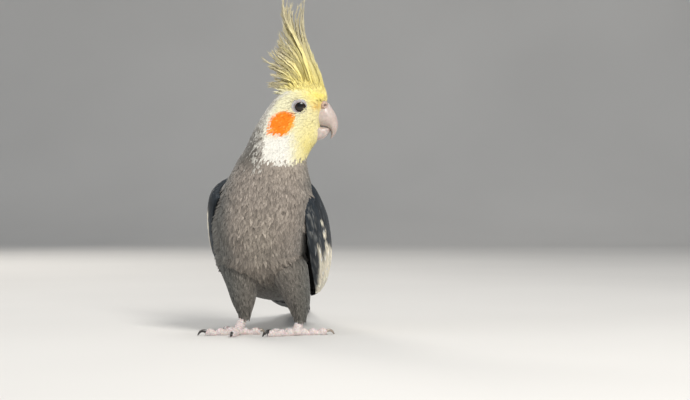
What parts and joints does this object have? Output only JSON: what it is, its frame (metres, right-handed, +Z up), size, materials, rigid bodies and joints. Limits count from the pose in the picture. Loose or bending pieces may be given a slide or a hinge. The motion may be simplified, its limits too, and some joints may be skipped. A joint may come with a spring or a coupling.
{
  "type": "cockatiel",
  "caption": "Life-size still model of a standing crested parakeet, head turned over its left side, tail laid on the floor.",
  "frame": {"origin": "bottom centre of the whole bird's box, on the floor", "axes": "+Z up; the bird's chest faces -Y and its tail runs along +Y; the bill points along +X, to the bird's left"},
  "size_m": [0.0832, 0.2324, 0.2013],
  "materials": {
    "grey_feather": "soft matte feather",
    "wing_feather": "smooth satin feather",
    "tail_feather": "smooth satin feather",
    "face_feather": "fine soft feather",
    "bill": "satin horn",
    "cere": "bare skin",
    "eye": "wet gloss",
    "skin": "scaly bare skin",
    "claw": "satin horn"
  },
  "bodies": {
    "root": {"torso": "grey_feather", "neck": "grey_feather", "head": "face_feather", "eye_left": "eye", "eye_right": "eye", "cere": "cere", "bill_upper": "bill", "bill_lower": "bill", "wing_left": "wing_feather", "wing_right": "wing_feather", "tail": "tail_feather", "shin_left": "grey_feather", "shank_left": "skin", "toe_left_1": "skin", "claw_left_1": "claw", "toe_left_2": "skin", "claw_left_2": "claw", "toe_left_3": "skin", "claw_left_3": "claw", "toe_left_4": "skin", "claw_left_4": "claw", "shin_right": "grey_feather", "shank_right": "skin", "toe_right_1": "skin", "claw_right_1": "claw", "toe_right_2": "skin", "claw_right_2": "claw", "toe_right_3": "skin", "claw_right_3": "claw", "toe_right_4": "skin", "claw_right_4": "claw"}
  },
  "joints": []
}
